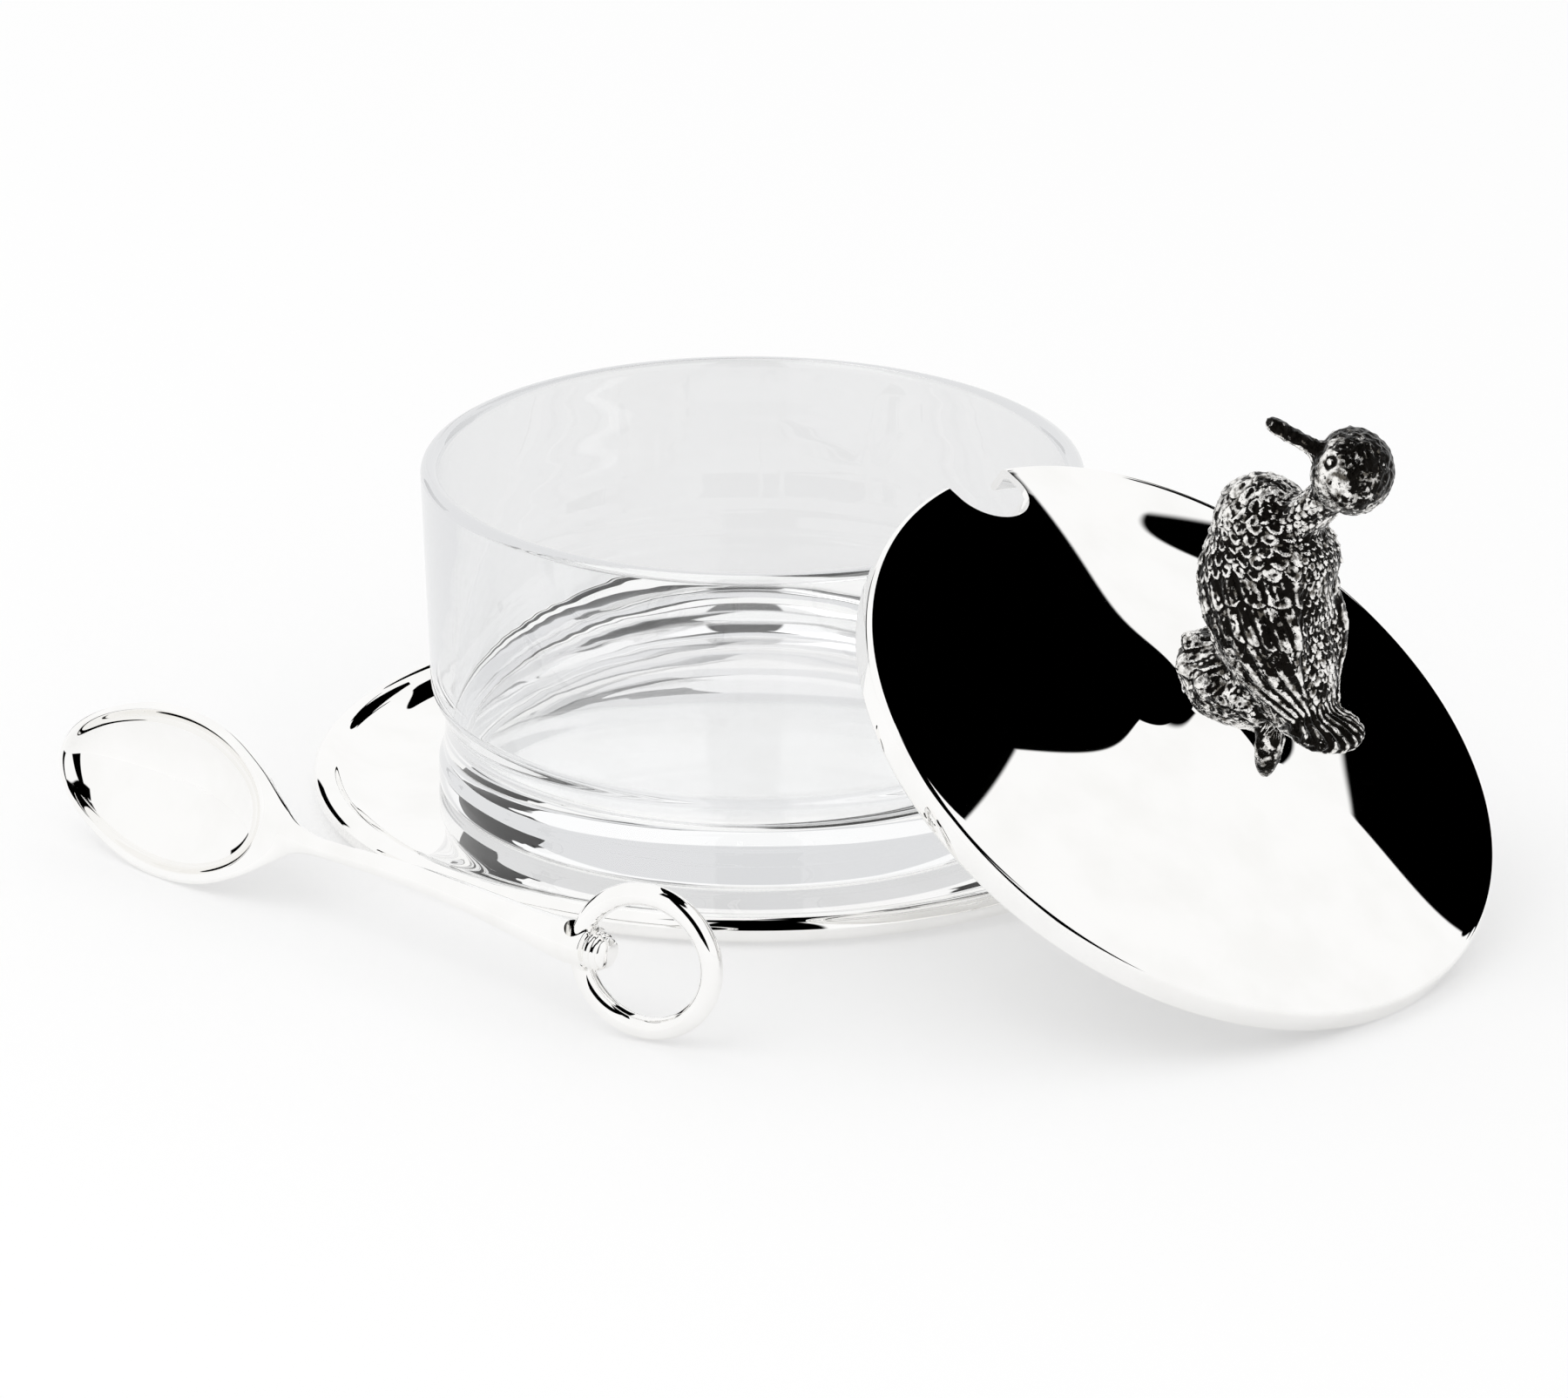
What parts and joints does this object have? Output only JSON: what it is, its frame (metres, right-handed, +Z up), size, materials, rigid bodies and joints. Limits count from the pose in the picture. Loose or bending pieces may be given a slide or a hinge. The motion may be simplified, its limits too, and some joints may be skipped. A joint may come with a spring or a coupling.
{
  "type": "covered preserve jar with saucer and spoon",
  "caption": "Straight glass jar on a round silver saucer, with a lift-off domed cover that has a spoon notch and a cast duck knob, and a spoon with a loose ring.",
  "frame": {"origin": "centre of the saucer's flat underside, on the table, on the jar's axis", "axes": "+Z up along the jar's axis; -Y towards the picture's camera; +X to the picture's right"},
  "size_m": [0.2298, 0.1937, 0.0944],
  "materials": {
    "polished_silver": "mirror-polished silver plate",
    "clear_glass": "clear, polished",
    "antiqued_pewter": "cast pewter, blackened in the recesses and rubbed bright on the feathers",
    "plain_steel": "plain steel screw and washer"
  },
  "bodies": {
    "saucer": {"saucer": "polished_silver"},
    "jar": {"glass_jar": "clear_glass"},
    "cover": {"cover_shell": "polished_silver", "locating_ring": "polished_silver", "duck_finial": "antiqued_pewter", "finial_washer": "plain_steel", "finial_screw": "plain_steel"},
    "spoon": {"spoon": "polished_silver"},
    "ring": {"spoon_ring": "polished_silver"}
  },
  "joints": [
    {"name": "jar_lift", "type": "slide", "parent": "saucer", "child": "jar", "axis": [0, 0, 1], "range_m": [0, 0.08]},
    {"name": "cover_lift", "type": "slide", "parent": "jar", "child": "cover", "axis": [0, 0, 1], "range_m": [0, 0.08]},
    {"name": "spoon_lift", "type": "slide", "parent": "saucer", "child": "spoon", "axis": [0, 0, 1], "range_m": [0, 0.08]},
    {"name": "ring_swing", "type": "hinge", "parent": "spoon", "child": "ring", "pos_m": [-0.02638, -0.10571, 0.01321], "axis": [0, 0, 1], "range_deg": [-165, 120]}
  ]
}
